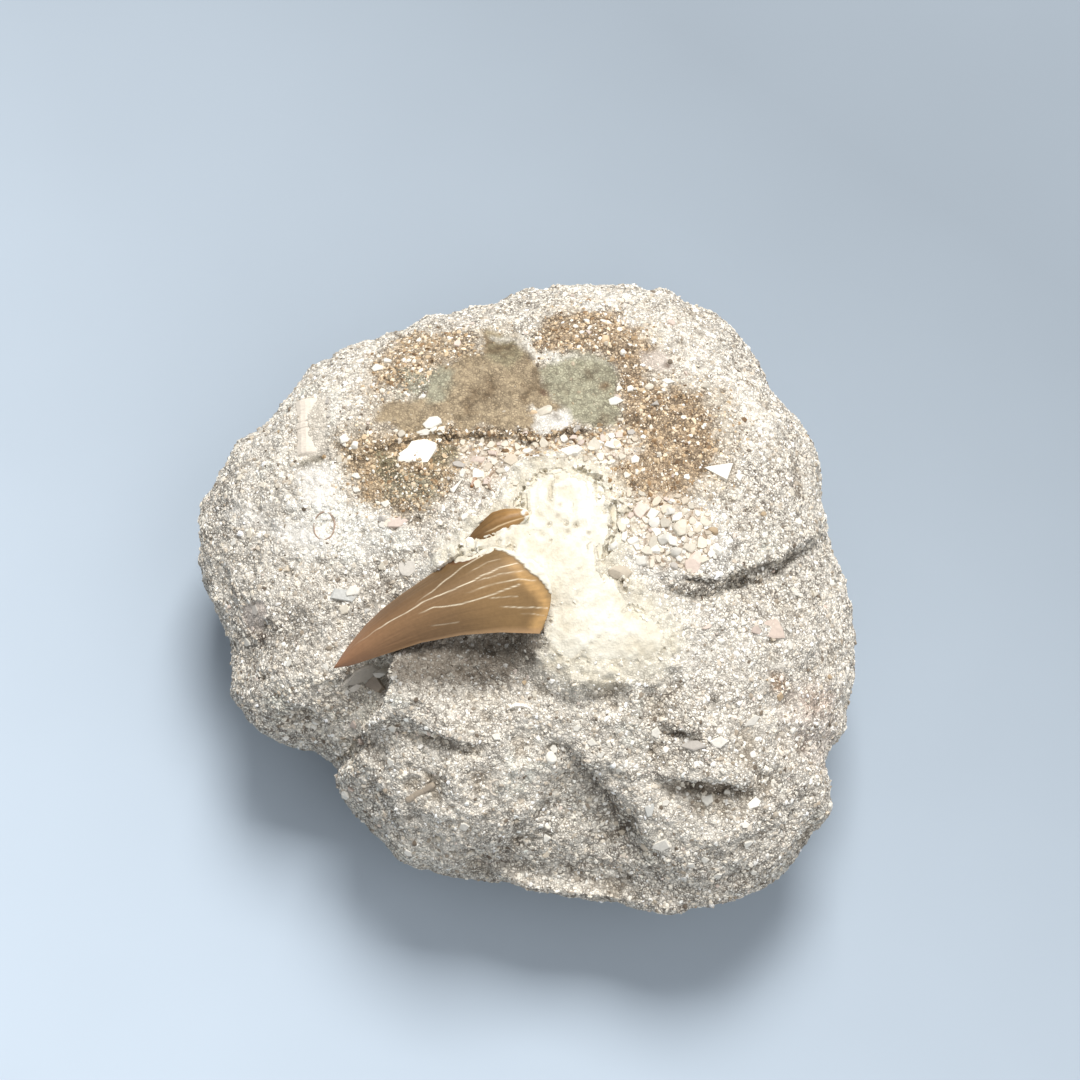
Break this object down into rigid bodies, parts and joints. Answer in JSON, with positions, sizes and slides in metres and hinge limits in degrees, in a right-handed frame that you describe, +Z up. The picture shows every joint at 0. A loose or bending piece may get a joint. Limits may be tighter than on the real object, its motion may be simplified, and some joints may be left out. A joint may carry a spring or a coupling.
{
  "type": "fossil shark tooth",
  "caption": "Curved fossil shark tooth with a small side cusp and a pale root, bedded in a rounded lump of gritty pale limestone that lies flat on a surface.",
  "frame": {"origin": "under the middle of the bounding box, at the height of the surface that the rock rests on", "axes": "+Z up, out of the side with the tooth; +X along the rock's longer side, from the tooth's tip towards its root; +Y from the lower cutting edge of the crown towards the small side cusp"},
  "size_m": [0.0998, 0.0976, 0.0452],
  "materials": {
    "rock": "matt and gritty, pale grey-beige with a brown and green stained skin",
    "enamel": "glossy brown enamel with fine pale cracks",
    "root": "matt cream, finely porous"
  },
  "bodies": {
    "root": {"rock": "rock", "tooth": "enamel"}
  },
  "joints": []
}
